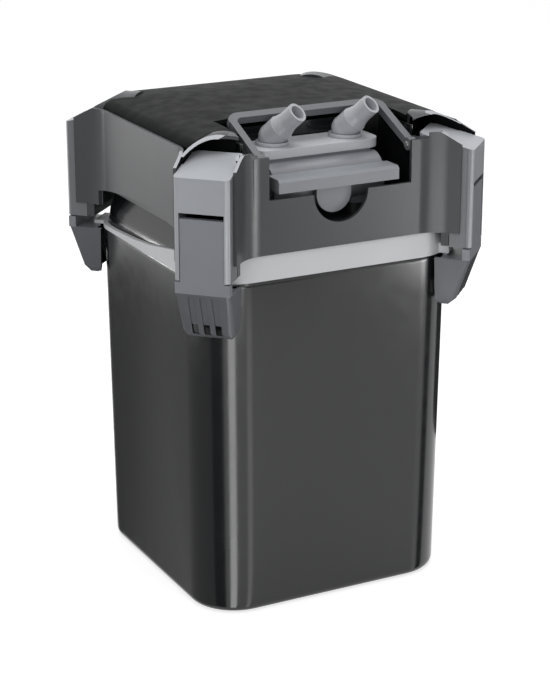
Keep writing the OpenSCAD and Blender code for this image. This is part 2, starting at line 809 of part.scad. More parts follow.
module motor_pot() {
    color("#232427") translate([0, pump_y, 0]) difference() {
        union() {
            translate([0, 0, plate_top]) cylinder(r = pot_flange, h = 4);
            translate([0, 0, plate_top]) cylinder(r = pot_r, h = pot_top - plate_top);
        }
        translate([0, 0, plate_top - 1]) cylinder(r = rotor_r + 1, h = rotor_top + 4 - plate_top);
        translate([0, 0, rotor_top + 2]) cylinder(r = bush_r, h = 6);
    }
}

module rotor() {
    color("#4a4b4e") translate([0, pump_y, plate_top + 3]) difference() {
        cylinder(r = rotor_r, h = rotor_top - plate_top - 6);
        translate([0, 0, -1]) cylinder(r = shaft_r + slip, h = 80);
    }
}

module impeller() {
    hub_r = 5;
    blade_h = 10;
    top = base_z - 1.5;
    color("#e0e1e3") translate([0, pump_y, 0]) difference() {
        union() {
            translate([0, 0, top - blade_h]) cylinder(r = hub_r, h = plate_top + 3 - top + blade_h);
            translate([0, 0, top - 1.5]) cylinder(r = blade_r, h = 1.5);
            for (i = [0:blade_n - 1]) rotate([0, 0, i * 360 / blade_n]) {
                translate([0, -0.9, top - blade_h]) cube([blade_r, 1.8, blade_h]);
            }
        }
        translate([0, 0, top - blade_h - 1]) cylinder(r = shaft_r + slip, h = 80);
    }
}

module impeller_shaft() {
    color("#f2f2ef") translate([0, pump_y, volute_z]) cylinder(r = shaft_r, h = rotor_top + 6 - volute_z);
}

module shaft_bushes() {
    color("#1a1a1b") translate([0, pump_y, 0]) for (z = [volute_z, rotor_top + 3]) translate([0, 0, z]) difference() {
        cylinder(r = z > body_h ? bush_r : 4, h = 3.5);
        translate([0, 0, -1]) cylinder(r = shaft_r, h = 6);
    }
}

// Outline of the volute with its channel to the riser, in plan
module volute_plan(r, half_channel, r_end) {
    run = norm([pipe_x, tap_y - pump_y]);
    aim = atan2(tap_y - pump_y, pipe_x);
    circle(r);
    rotate(aim) {
        translate([0, -half_channel]) square([run, 2 * half_channel]);
        translate([run, 0]) circle(r_end);
    }
}

module volute_cover() {
    drop = base_z - volute_z;
    color("#303236") translate([0, pump_y, volute_z]) difference() {
        union() {
            linear_extrude(drop) volute_plan(volute_in + volute_t, 10, riser_r);
            for (i = [0:3]) rotate([0, 0, 45 + 90 * i]) translate([volute_in + 5, 0, 0])
                rotate([0, 0, 90]) cylinder(r = 4.5, h = drop);
        }
        translate([0, 0, volute_t]) linear_extrude(drop) volute_plan(volute_in, 7.5, riser_r - pipe_t);
        // Inlet holes, the bush's seat and the screw holes
        for (i = [0:5]) rotate([0, 0, 60 * i]) translate([inlet_r - 2, 0, -1]) cylinder(r = 2.2, h = volute_t + 2);
        translate([0, 0, -1]) cylinder(r = 4, h = 6);
        for (i = [0:3]) rotate([0, 0, 45 + 90 * i]) translate([volute_in + 5, 0, -1]) cylinder(r = 1.5, h = drop + 2);
    }
}

module volute_screws() {
    color("#b9bbbe") for (i = [0:3]) translate([0, pump_y, volute_z]) rotate([0, 0, 45 + 90 * i]) {
        translate([volute_in + 5, 0, 0]) {
            cylinder(r = 1.5, h = base_z - volute_z);
            translate([0, 0, -2]) cylinder(r = 3, h = 2);
        }
    }
}

module frame_screws() {
    color("#b9bbbe") for (x = [-1, 1], y = [-20, 75]) translate([x * 78, y, deck_z + deck_t]) {
        cylinder(r = 3.5, h = 2.2);
    }
}

module cable_gland() {
    color("#1d1e20") translate([0, 0, gland_z]) rotate([-90, 0, 0]) difference() {
        union() {
            translate([0, 0, half - 17.6]) cylinder(r = gland_r, h = 20.6);
            translate([0, 0, half - 17.6]) cylinder(r = gland_r + 3, h = 3, $fn = 6);
            translate([0, 0, half - 2]) cylinder(r = gland_r + 2, h = 6);
        }
        translate([0, 0, half - 20]) cylinder(r = cable_r, h = 30);
    }
}

module down_pipe() {
    color("#26282b") translate([-pipe_x, tap_y, basket_z + 6]) difference() {
        cylinder(r = pipe_r, h = base_z - basket_z - 6);
        translate([0, 0, -1]) cylinder(r = pipe_r - pipe_t, h = body_h);
    }
}

// ---- baskets and media ----

module basket(i) {
    z = basket_z + i * basket_h;
    slots = 12;
    pitch = (basket_w - 30) / slots;
    color("#3b3d41") difference() {
        union() {
            difference() {
                slab(basket_w, basket_r, z, basket_h);
                slab(basket_w - 2 * basket_t, basket_r - basket_t, z + basket_t, basket_h);
            }
            translate([-pipe_x, tap_y, z]) cylinder(r = sleeve_r, h = basket_h);
        }
        translate([-pipe_x, tap_y, z - 1]) cylinder(r = sleeve_r - 1.6, h = basket_h + 2);
        for (j = [0:slots - 1]) {
            translate([-basket_w / 2 + 15 + (j + 0.5) * pitch - 3, -55, z - 1]) cube([6, 130, basket_t + 2]);
        }
    }
}

module media_block(i, h, tint) {
    z = basket_z + i * basket_h + basket_t;
    color(tint) difference() {
        slab(basket_w - 2 * basket_t - 1, basket_r - basket_t - 0.5, z, h);
        translate([-pipe_x, tap_y, z - 1]) cylinder(r = sleeve_r + 0.5, h = h + 2);
    }
}

canister_shell();
rubber_pads();
collar();
rim_seal();
head_base();
head_frame();
lid();
tap_well();
corner_cap(0);  // cap_front_left
corner_cap(1);  // cap_front_right
corner_cap(2);  // cap_back_right
corner_cap(3);  // cap_back_left
clamp(0);  // clamp_front_left
clamp(1);  // clamp_front_right
clamp(2);  // clamp_back_right
clamp(3);  // clamp_back_left
clamp_pins();
tap_housing();
tap_plate();
tap_barrel();
barrel_seals();
tap_lever();
tail(-pipe_x);  // tail_left
tail(pipe_x);  // tail_right
tail_seal(-pipe_x);  // tail_seal_left
tail_seal(pipe_x);  // tail_seal_right
tail_rings();
carry_handle();
handle_pins();
riser_pipes();
motor_pot();
rotor();
impeller();
impeller_shaft();
shaft_bushes();
volute_cover();
volute_screws();
frame_screws();
cable_gland();
down_pipe();
basket(0);  // basket_lower
basket(1);  // basket_middle
basket(2);  // basket_upper
media_block(0, basket_h - 8, "#5a6b7a");  // sponge_lower
media_block(1, basket_h - 8, "#6f6a5e");  // sponge_middle
media_block(2, basket_h - 30, "#d9d9d4");  // fleece_upper
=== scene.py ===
"""Canister filter for an aquarium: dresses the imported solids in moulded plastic, rubber, steel and foam."""

import json
import math

import bmesh
import bpy
from bpy.props import FloatProperty, FloatVectorProperty, IntProperty, PointerProperty
from mathutils import Matrix, Vector, noise


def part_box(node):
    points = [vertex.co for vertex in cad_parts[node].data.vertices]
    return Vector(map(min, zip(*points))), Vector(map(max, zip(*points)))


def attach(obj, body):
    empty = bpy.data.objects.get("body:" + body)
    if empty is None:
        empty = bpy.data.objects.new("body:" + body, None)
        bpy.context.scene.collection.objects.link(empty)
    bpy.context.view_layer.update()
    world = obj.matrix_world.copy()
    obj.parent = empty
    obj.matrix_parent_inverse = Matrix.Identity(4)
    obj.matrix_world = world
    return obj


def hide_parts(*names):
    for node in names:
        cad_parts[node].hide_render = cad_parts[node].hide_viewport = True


bl_info = {
    "name": "Canister Filter",
    "version": (1, 0, 0),
    "blender": (4, 5, 0),
    "location": "3D View > Sidebar > Filter",
    "description": "Builds a canister filter with a tap block, corner clamps, a carry handle and its pump",
    "category": "Object",
}

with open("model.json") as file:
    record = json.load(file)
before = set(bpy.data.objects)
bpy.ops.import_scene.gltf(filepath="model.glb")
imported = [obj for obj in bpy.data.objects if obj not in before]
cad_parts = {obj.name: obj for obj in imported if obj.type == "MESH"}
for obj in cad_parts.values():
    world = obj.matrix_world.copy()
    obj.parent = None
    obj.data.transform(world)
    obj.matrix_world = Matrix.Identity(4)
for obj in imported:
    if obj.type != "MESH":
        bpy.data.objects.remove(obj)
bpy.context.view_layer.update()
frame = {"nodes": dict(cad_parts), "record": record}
NODES = frame["nodes"]
NODE_BODY = {node: body for body, nodes in frame["record"]["behaviour"]["bodies"].items() for node in nodes}
CORNERS = ("front_left", "front_right", "back_right", "back_left")

# Roundings of moulded edges, as multiples of the size setting
CRISP, FINE, PLAIN, SOFT, ROUND = 0.75, 1.0, 1.25, 1.5, 2.0
# Edges that turn by more than this, in degrees, stay sharp in the shading
SHARP = 32

# Camera: turn and height in degrees, place in metres, lens and film in millimetres
CAMERA_TURN, CAMERA_HEIGHT = -27.4715, 18.7963
CAMERA_PLACE = (-0.7308, -1.4118, 0.7223)
CAMERA_LENS, CAMERA_FILM = 105.89, 36

# Stage: half width, reflectance and glow of the floor, and strength of the world's light
FLOOR_REACH, FLOOR_PAPER, FLOOR_GLOW = 14, 0.62, 0.7
WORLD_LIGHT = 0.42
LAMP_AIM = Vector((0, 0, 0.2))
# Name, place, width and height, power
LAMPS = (
    ("Key", (-1.5, -1.3, 1.5), (0.9, 0.9), 8.5),
    ("Top", (0.1, 0.1, 1.9), (1.4, 1.4), 16),
    ("Right", (1.7, -1.0, 0.8), (0.3, 1.4), 0.8),
    ("Front", (0.3, -2.3, 0.7), (0.25, 1.2), 4.5),
    ("Rim", (-0.84, 1.2, 0.12), (0.16, 0.05), 0.42),
)
# Height of the gloss cards, and the canister's corner radius and half width that they are laid out for
CARD_HEIGHT, CARD_RADIUS, CARD_SIDE = 0.001, 0.039, 0.1125
# Cards that lie between two directions from a point: point, directions, nearest, farthest, level
CARD_SECTORS = (
    ((0, -0.13), -27, 0, 0.9, 1.8, 0.1),
    ((0, -0.13), -50, -38, 0.9, 1.8, 18.0),
    ((0.1, -0.14), 2, 50, 0.9, 1.5, 7.5),
    ((0.13, -0.08), -158, -95, 0.3, 3.0, 0.05),
)

# Arch over each column, whose back, sides and underside are painted black as shade: where its room starts and ends
# along the diagonal, half its width and where its sides begin, and its foot; then where its front edge, painted pale
# as a highlight, starts, half its width and its foot
NICHE_NEAR, NICHE_FAR, NICHE_HALF, NICHE_SIDE, NICHE_FOOT = 0.1145, 0.156, 0.0223, 0.0215, 0.312
RIM_NEAR, RIM_HALF, RIM_FOOT = 0.122, 0.0252, 0.355
# Grip of each clamp: foot and half width of its hollow, crease at its top, and top and half width of its slots; the
# hollow and the slots are painted black as shade
HOLLOW_FOOT, HOLLOW_HALF, CREASE = 0.236, 0.0195, 0.2725
SLOT_TOP, SLOT_HALF = 0.256, 0.0125


def node_span(node, axis):
    """A solid's extent along an axis."""
    low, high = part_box(node)
    return high[axis] - low[axis]


# ---------------------------------------------------------------- settings


def length(name, about, value, low=0.0, high=1.0):
    """A size setting in metres."""
    return FloatProperty(
        name=name,
        description=about,
        default=value,
        min=low,
        max=high,
        subtype="DISTANCE",
        unit="LENGTH",
        precision=4,
    )


def tint(name, about, grey):
    """A colour setting. It is written as screen values and kept as scene-linear ones."""
    values = [(c / 255 / 12.92) if c / 255 <= 0.04045 else ((c / 255 + 0.055) / 1.055) ** 2.4 for c in grey]
    return FloatVectorProperty(
        name=name, description=about, default=values, min=0.0, max=1.0, size=3, subtype="COLOR"
    )


class FilterSizes(bpy.types.PropertyGroup):
    body_width: length("Canister width", "Width of the canister across its rim", node_span("canister_shell", 0), 0.1)
    body_height: length("Canister height", "Height of the canister's rim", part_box("canister_shell")[1][2], 0.1)
    corner_radius: length("Corner radius", "Radius of the canister's corners at the rim", 0.039, 0.01)
    draft: length("Draft", "How far each side leans in from the rim to the base", 0.0027, 0.0, 0.01)
    wall: length("Wall", "Wall of the canister", 0.0032, 0.001, 0.01)
    floor: length("Floor", "Thickness of the canister's floor", 0.005, 0.001, 0.02)
    edge: length("Edge rounding", "Rounding of a finely moulded edge", 0.0004, 0.0, 0.002)
    pin_radius: length("Pin radius", "Radius of a clamp's hinge pin", 0.002, 0.001, 0.004)
    pin_circle: length("Pin circle", "Distance of the hinge pins from the axis", 0.162, 0.1, 0.3)
    blades: IntProperty(name="Blades", description="Number of impeller blades", default=6, min=3, max=12)
    blade_radius: length("Blade radius", "Outer radius of the impeller's blades", 0.022, 0.01, 0.03)
    pore: length("Foam pore", "Size of a pore in the filter foam", 0.0022, 0.0005, 0.01)


class FilterColours(bpy.types.PropertyGroup):
    shell: tint("Canister", "Charcoal plastic of the canister", (30, 31, 33))
    collar: tint("Collar", "Pale plastic of the collar", (215, 217, 220))
    frame: tint("Head panels", "Grey plastic of the head's panels", (56, 58, 61))
    # Painted shade: this black is also put on the arches' backs and undersides and inside the grips' hollows and
    # slots
    lid: tint("Lid", "Black plastic of the lid and the tub", (14, 15, 16))
    inner: tint("Housing", "Dark plastic of the pump housing", (22, 23, 25))
    # Painted highlight: this grey is also put on the arches' front edges
    cap: tint("Column caps", "Silver-grey plastic of the corner columns", (166, 169, 174))
    # Painted shade: the columns' sides take this darker grey, which stands for the shade on them
    side: tint("Column sides", "Darker colour painted on the corner columns' sides as shade", (112, 114, 118))
    clamp: tint("Clamps", "Grey plastic of the clamps", (132, 135, 141))
    grip: tint("Grips", "Darker plastic of the clamps' grips", (90, 93, 98))
    lever: tint("Lever", "Grey plastic of the tap lever", (136, 139, 144))
    tap: tint("Tap block", "Grey plastic of the tap block", (122, 124, 129))
    valve: tint("Valve", "Pale plastic of the tap's barrel, its plate and the impeller", (188, 190, 194))
    tail: tint("Hose tails", "Grey plastic of the hose tails", (176, 178, 183))
    handle: tint("Handle", "Grey plastic of the carry handle", (92, 94, 98))
    pipe: tint("Pipes", "Dark plastic of the pipes", (40, 41, 44))
    basket: tint("Baskets", "Plastic of the media baskets", (60, 62, 66))
    rubber: tint("Rubber", "Rubber of the seals and the pads", (22, 22, 23))
    foam: tint("Foam", "Filter foam", (44, 74, 118))
    fleece: tint("Fleece", "White filter fleece", (226, 228, 226))


def sizes():
    return bpy.context.scene.filter_sizes


def colours():
    return bpy.context.scene.filter_colours


# ---------------------------------------------------------------- finishes


class Shader:
    """A material under construction: adds nodes by type, sets their sockets and links them."""

    def __init__(self, name):
        self.material = bpy.data.materials.new(name)
        self.material.use_nodes = True
        self.tree = self.material.node_tree
        self.tree.nodes.clear()
        self.out = self.add("OutputMaterial")
        self.bsdf = self.add("BsdfPrincipled")
        self.link(self.bsdf, "BSDF", self.out, "Surface")
        self.place = self.add("TexCoord")

    def add(self, kind, **values):
        """A shader node; each value sets one of its properties or, with spaces as underscores, a socket."""
        node = self.tree.nodes.new("ShaderNode" + kind)
        for key, value in values.items():
            if hasattr(node, key):
                setattr(node, key, value)
            else:
                node.inputs[key.replace("_", " ")].default_value = value
        return node

    def link(self, a, out, b, into):
        self.tree.links.new(a.outputs[out], b.inputs[into])

    def mapped(self, scale):
        node = self.add("Mapping")
        node.inputs["Scale"].default_value = scale
        self.link(self.place, "Object", node, "Vector")
        return node

    def noise(self, size, detail, stretch=(1, 1, 1), roughness=0.5):
        """Noise whose features are about size metres across."""
        node = self.add("TexNoise", Scale=1.0 / size, Detail=detail, Roughness=roughness)
        if tuple(stretch) == (1, 1, 1):
            self.link(self.place, "Object", node, "Vector")
        else:
            self.link(self.mapped(stretch), "Vector", node, "Vector")
        return node

    def spread(self, source, out, low, high, start=0.3, stop=0.7):
        """Maps a pattern's values from start..stop to low..high."""
        node = self.add("MapRange")
        node.inputs["From Min"].default_value = start
        node.inputs["From Max"].default_value = stop
        node.inputs["To Min"].default_value = low
        node.inputs["To Max"].default_value = high
        self.link(source, out, node, "Value")
        return node

    def shaded(self, factor, dark, light):
        """Base colour between dark and light, by a factor from spread()."""
        node = self.add("Mix", data_type="RGBA")
        # The colour sockets of a Mix node follow its number and vector sockets
        node.inputs[6].default_value = (*dark, 1)
        node.inputs[7].default_value = (*light, 1)
        self.link(factor, "Result", node, 0)
        self.link(node, 2, self.bsdf, "Base Color")

    def bump(self, source, out, depth, before=None, strength=1.0):
        node = self.add("Bump")
        node.inputs["Strength"].default_value = strength
        node.inputs["Distance"].default_value = depth
        self.link(source, out, node, "Height")
        if before is not None:
            self.link(before, "Normal", node, "Normal")
        return node

    def wear_normal(self, node):
        self.link(node, "Normal", self.bsdf, "Normal")


def scaled(colour, factor):
    return [min(1.0, c * factor) for c in colour]


def moulded(name, colour, rough, grain=0.00002, specular=0.5, mottle=0.05, spread=0.06):
    """Injection-moulded plastic: spark-eroded grain, slow changes of tone and flow, and small changes of gloss."""
    s = Shader(name)
    slow = s.noise(0.09, 3.0)
    s.shaded(s.spread(slow, "Fac", 0.0, 1.0), scaled(colour, 1 - mottle), scaled(colour, 1 + mottle))
    gloss = s.noise(0.012, 4.0)
    s.link(s.spread(gloss, "Fac", rough - spread, rough + spread), "Result", s.bsdf, "Roughness")
    flow = s.noise(0.05, 1.0)
    fine = s.noise(0.0007, 2.0)
    first = s.bump(flow, "Fac", 0.00012, strength=0.5)
    s.wear_normal(s.bump(fine, "Fac", grain, before=first))
    s.bsdf.inputs["Specular IOR Level"].default_value = specular
    return s.material


def rubber(name, colour):
    """Matt black rubber with a dusty bloom."""
    s = Shader(name)
    dust = s.noise(0.02, 5.0)
    s.shaded(s.spread(dust, "Fac", 0.0, 1.0), scaled(colour, 0.85), scaled(colour, 1.35))
    s.link(s.spread(dust, "Fac", 0.62, 0.8), "Result", s.bsdf, "Roughness")
    s.wear_normal(s.bump(s.noise(0.0004, 2.0), "Fac", 0.00003))
    s.bsdf.inputs["Specular IOR Level"].default_value = 0.35
    return s.material


def steel(name):
    """Stainless steel, brushed round."""
    s = Shader(name)
    brushed = s.noise(0.0006, 4.0, stretch=(1, 1, 0.06))
    s.shaded(s.spread(brushed, "Fac", 0.0, 1.0), (0.5, 0.5, 0.51), (0.64, 0.64, 0.65))
    s.link(s.spread(brushed, "Fac", 0.22, 0.38), "Result", s.bsdf, "Roughness")
    s.wear_normal(s.bump(brushed, "Fac", 0.000004))
    s.bsdf.inputs["Metallic"].default_value = 1.0
    return s.material


def magnet(name):
    """Sintered ferrite: dark, grainy and half metallic."""
    s = Shader(name)
    sintered = s.noise(0.0009, 6.0)
    s.shaded(s.spread(sintered, "Fac", 0.0, 1.0), (0.045, 0.045, 0.048), (0.085, 0.085, 0.09))
    s.link(s.spread(sintered, "Fac", 0.35, 0.55), "Result", s.bsdf, "Roughness")
    s.wear_normal(s.bump(sintered, "Fac", 0.00001))
    s.bsdf.inputs["Metallic"].default_value = 0.6
    return s.material


def ceramic(name):
    """Polished white ceramic."""
    s = Shader(name)
    glaze = s.noise(0.004, 3.0)
    s.shaded(s.spread(glaze, "Fac", 0.0, 1.0), (0.78, 0.77, 0.73), (0.86, 0.85, 0.82))
    s.link(s.spread(glaze, "Fac", 0.12, 0.2), "Result", s.bsdf, "Roughness")
    s.wear_normal(s.bump(glaze, "Fac", 0.000005))
    return s.material


def foam(name, colour, pore):
    """Open-cell foam: pale cell walls, with the pores between them painted dark as shade."""
    s = Shader(name)
    cells = s.add("TexVoronoi", Scale=1.0 / pore)
    cells.feature = "DISTANCE_TO_EDGE"
    s.link(s.place, "Object", cells, "Vector")
    # Painted shade: the colour darkens from the cell walls towards the middles of the pores
    walls = s.spread(cells, "Distance", 1.0, 0.0, 0.02, 0.22)
    s.shaded(walls, scaled(colour, 0.35), scaled(colour, 1.15))
    s.wear_normal(s.bump(walls, "Result", pore * 0.35))
    s.bsdf.inputs["Roughness"].default_value = 0.95
    s.bsdf.inputs["Specular IOR Level"].default_value = 0.2
    return s.material


def fleece(name, colour):
    """Needled fleece: tangled fibres, soft and matt."""
    s = Shader(name)
    fibres = s.noise(0.0012, 8.0, stretch=(1, 1, 2.5), roughness=0.7)
    s.shaded(s.spread(fibres, "Fac", 0.0, 1.0), scaled(colour, 0.8), scaled(colour, 1.0))
    s.wear_normal(s.bump(fibres, "Fac", 0.0005))
    s.bsdf.inputs["Roughness"].default_value = 1.0
    s.bsdf.inputs["Sheen Weight"].default_value = 0.25
    s.bsdf.inputs["Specular IOR Level"].default_value = 0.1
    return s.material


FINISH = {}


def finish(slot):
    """The material of one of the record's slots, made on first use."""
    if slot not in FINISH:
        c = colours()
        makers = {
            "shell_plastic": lambda: moulded(
                "Charcoal canister plastic", c.shell, 0.17, grain=0.000004, spread=0.03
            ),
            "pad_rubber": lambda: rubber("Foot rubber", c.rubber),
            "collar_plastic": lambda: moulded("Pale collar plastic", c.collar, 0.42, mottle=0.02),
            "seal_rubber": lambda: rubber("Seal rubber", c.rubber),
            "inner_plastic": lambda: moulded(
                "Black housing plastic", c.inner, 0.13, grain=0.000003, mottle=0.02, spread=0.02
            ),
            "frame_plastic": lambda: moulded(
                "Grey panel plastic", c.frame, 0.3, specular=0.45, mottle=0.03, spread=0.015
            ),
            "lid_plastic": lambda: moulded("Black lid plastic", c.lid, 0.5, specular=0.05),
            "cap_plastic": lambda: moulded("Silver-grey cap plastic", c.cap, 0.36),
            "clamp_plastic": lambda: moulded("Grey clamp plastic", c.clamp, 0.38),
            "steel": lambda: steel("Stainless steel"),
            "tap_plastic": lambda: moulded("Grey tap plastic", c.tap, 0.35),
            "valve_plastic": lambda: moulded("Pale valve plastic", c.valve, 0.38, mottle=0.02),
            "lever_plastic": lambda: moulded("Grey lever plastic", c.lever, 0.38),
            "tail_plastic": lambda: moulded("Grey tail plastic", c.tail, 0.25, mottle=0.03),
            "handle_plastic": lambda: moulded("Grey handle plastic", c.handle, 0.4),
            "pipe_plastic": lambda: moulded("Dark pipe plastic", c.pipe, 0.4),
            "magnet": lambda: magnet("Sintered magnet"),
            "shaft_rod": lambda: ceramic("Ceramic shaft"),
            "gland_rubber": lambda: rubber("Gland rubber", c.rubber),
            "basket_plastic": lambda: moulded("Basket plastic", c.basket, 0.45),
            "media_foam": lambda: foam("Filter foam", c.foam, sizes().pore),
            "fleece": lambda: fleece("Filter fleece", c.fleece),
        }
        FINISH[slot] = makers[slot]()
    return FINISH[slot]


def variant(key, name, colour, rough):
    """A second colour on a piece, beside its slot's own; made on first use. It gives the grips their darker plastic
    and the columns' sides their painted shade.
    """
    if key not in FINISH:
        FINISH[key] = moulded(name, colour, rough)
    return FINISH[key]


# ---------------------------------------------------------------- mesh tools


def meshed(name, bm):
    """A mesh of a bmesh, which is freed."""
    mesh = bpy.data.meshes.new(name)
    bm.to_mesh(mesh)
    bm.free()
    return mesh


def placed(name, mesh):
    """An object in the scene, at the origin."""
    obj = bpy.data.objects.new(name, mesh)
    bpy.context.scene.collection.objects.link(obj)
    return obj


def softened(mesh, angle=SHARP):
    """Smooth shading, except across edges that turn by more than the angle in degrees."""
    mesh.shade_smooth()
    mesh.set_sharp_from_angle(angle=math.radians(angle))


def settle(name, mesh, slot, body, nodes, smooth=SHARP, material=None):
    """Makes a finished piece of a mesh: material, shading, body and the nodes that it stands for."""
    obj = placed(name, mesh)
    mesh.materials.clear()
    mesh.materials.append(material or finish(slot))
    if smooth:
        softened(mesh, smooth)
    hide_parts(*nodes)
    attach(obj, body)
    return obj


def applied(obj):
    """The object's mesh with its modifiers applied; the object itself is removed."""
    bpy.context.view_layer.update()
    shown = obj.evaluated_get(bpy.context.evaluated_depsgraph_get())
    mesh = bpy.data.meshes.new_from_object(shown)
    bpy.data.objects.remove(obj)
    return mesh


def merged(node):
    """A copy of a solid's mesh with its loose triangles joined and its flat faces whole."""
    bm = bmesh.new()
    bm.from_mesh(NODES[node].data)
    bmesh.ops.remove_doubles(bm, verts=bm.verts, dist=2e-6)
    bmesh.ops.dissolve_limit(bm, angle_limit=math.radians(1.0), verts=bm.verts, edges=bm.edges)
    return bm


def dressed(node, slot, edge, sharp=40, segments=2):
    """A solid with its edges rounded by a multiple of the size setting, which stands for its node."""
    obj = placed(node + "_plain", meshed(node + "_plain", merged(node)))
    rounding = obj.modifiers.new("Edges", "BEVEL")
    rounding.width = round(sizes().edge * edge, 7)
    rounding.segments = segments
    rounding.limit_method = "ANGLE"
    rounding.angle_limit = math.radians(sharp)
    rounding.use_clamp_overlap = True
    rounding.harden_normals = False
    rounding.miter_outer = "MITER_ARC"
    mesh = applied(obj)
    softened(mesh)
    obj = placed(node + "_plain", mesh)
    even = obj.modifiers.new("Even normals", "WEIGHTED_NORMAL")
    even.keep_sharp = True
    even.weight = 80
    return settle(node + "_dressed", applied(obj), slot, NODE_BODY[node], (node,), 0)


def along(point, corner):
    """A point's distance out along a corner's diagonal, and across it. Corner 0 is front left."""
    a = math.radians(-135 + 90 * corner)
    return point.x * math.cos(a) + point.y * math.sin(a), point.y * math.cos(a) - point.x * math.sin(a)


def second_finish(obj, material, chosen):
    """Gives the faces that chosen(centre, normal) picks another finish."""
    obj.data.materials.append(material)
    index = len(obj.data.materials) - 1
    for face in obj.data.polygons:
        if chosen(face.center, face.normal):
            face.material_index = index


def square_ring(width, radius, height, steps=14):
    """Points of a square with rounded corners, anticlockwise from the right side."""
    points = []
    for k in range(4):
        cx = (width / 2 - radius) * (1 if k in (0, 3) else -1)
        cy = (width / 2 - radius) * (1 if k in (0, 1) else -1)
        for i in range(steps + 1):
            a = math.radians(90 * k + 90 * i / steps)
            points.append(Vector((cx + radius * math.cos(a), cy + radius * math.sin(a), height)))
    return points


def loft(rings):
    """A skin through rings of equal length, with a face across the first and the last."""
    bm = bmesh.new()
    rows = [[bm.verts.new(p) for p in ring] for ring in rings]
    count = len(rows[0])
    for low, high in zip(rows, rows[1:]):
        for i in range(count):
            j = (i + 1) % count
            bm.faces.new((low[i], low[j], high[j], high[i]))
    bm.faces.new(list(reversed(rows[0])))
    bm.faces.new(rows[-1])
    bmesh.ops.recalc_face_normals(bm, faces=bm.faces)
    return bm


def lathe(profile, steps, centre=(0, 0)):
    """A turned form about a vertical axis, from (radius, height) pairs that start and end on the axis."""
    bm = bmesh.new()
    rows = []
    for r, z in profile:
        if r < 1e-7:
            rows.append([bm.verts.new((centre[0], centre[1], z))])
        else:
            turns = [2 * math.pi * i / steps for i in range(steps)]
            points = [(centre[0] + r * math.cos(a), centre[1] + r * math.sin(a), z) for a in turns]
            rows.append([bm.verts.new(point) for point in points])
    for low, high in zip(rows, rows[1:]):
        for i in range(steps):
            j = (i + 1) % steps
            quad = [low[i % len(low)], low[j % len(low)], high[j % len(high)], high[i % len(high)]]
            bm.faces.new(list(dict.fromkeys(quad)))
    bmesh.ops.recalc_face_normals(bm, faces=bm.faces)
    return bm


def laid_out(name, template, tree, slot, body, nodes, values):
    """Runs a node tree on a template mesh, applies it and settles the result as one piece."""
    mesh = meshed(name, template)
    softened(mesh)
    obj = placed(name, mesh)
    layout = obj.modifiers.new("Layout", "NODES")
    layout.node_group = tree
    values = dict(values, Material=finish(slot))
    for item in tree.interface.items_tree:
        if item.in_out == "INPUT" and item.name in values:
            layout[item.identifier] = values[item.name]
    return settle(name, applied(obj), slot, body, nodes)


class Layout:
    """A Geometry Nodes tree that copies its own mesh to points and ends in a plain mesh."""

    def __init__(self, name, inputs):
        self.tree = bpy.data.node_groups.new(name, "GeometryNodeTree")
        self.tree.interface.new_socket("Geometry", in_out="INPUT", socket_type="NodeSocketGeometry")
        for label, kind, value in inputs:
            socket = self.tree.interface.new_socket(label, in_out="INPUT", socket_type="NodeSocket" + kind)
            socket.default_value = value
        self.tree.interface.new_socket("Material", in_out="INPUT", socket_type="NodeSocketMaterial")
        self.tree.interface.new_socket("Geometry", in_out="OUTPUT", socket_type="NodeSocketGeometry")
        self.inputs = self.tree.nodes.new("NodeGroupInput")
        self.outputs = self.tree.nodes.new("NodeGroupOutput")

    def add(self, kind, links=None, **settings):
        node = self.tree.nodes.new(kind)
        for key, value in settings.items():
            setattr(node, key, value)
        for into, source in (links or {}).items():
            if isinstance(source, bpy.types.NodeSocket):
                self.tree.links.new(source, node.inputs[into])
            else:
                node.inputs[into].default_value = source
        return node

    def given(self, name):
        return self.inputs.outputs[name]

    def close(self, instances):
        solid = self.add("GeometryNodeRealizeInstances", {"Geometry": instances.outputs["Instances"]})
        finished = self.add(
            "GeometryNodeSetMaterial", {"Geometry": solid.outputs[0], "Material": self.given("Material")}
        )
        self.tree.links.new(finished.outputs[0], self.outputs.inputs[0])
        return self.tree


def ring_layout(name):
    """Copies round a circle, each turned to face outwards."""
    g = Layout(
        name,
        [("Count", "Int", 4), ("Radius", "Float", 0.1), ("Start", "Float", 0.0), ("Centre", "Vector", (0, 0, 0))],
    )
    points = g.add("GeometryNodePoints", {"Count": g.given("Count")})
    index = g.add("GeometryNodeInputIndex")
    step = g.add("ShaderNodeMath", {0: 2 * math.pi, 1: g.given("Count")}, operation="DIVIDE")
    angle = g.add(
        "ShaderNodeMath",
        {0: index.outputs[0], 1: step.outputs[0], 2: g.given("Start")},
        operation="MULTIPLY_ADD",
    )
    turn = g.add("ShaderNodeCombineXYZ", {2: angle.outputs[0]})
    arm = g.add("ShaderNodeCombineXYZ", {0: g.given("Radius")})
    out = g.add(
        "ShaderNodeVectorRotate", {"Vector": arm.outputs[0], "Angle": angle.outputs[0]}, rotation_type="Z_AXIS"
    )
    place = g.add("ShaderNodeVectorMath", {0: out.outputs[0], 1: g.given("Centre")}, operation="ADD")
    moved = g.add(
        "GeometryNodeSetPosition", {"Geometry": points.outputs[0], "Position": place.outputs[0]}
    )
    copies = g.add(
        "GeometryNodeInstanceOnPoints",
        {"Points": moved.outputs[0], "Instance": g.given("Geometry"), "Rotation": turn.outputs[0]},
    )
    return g.close(copies)


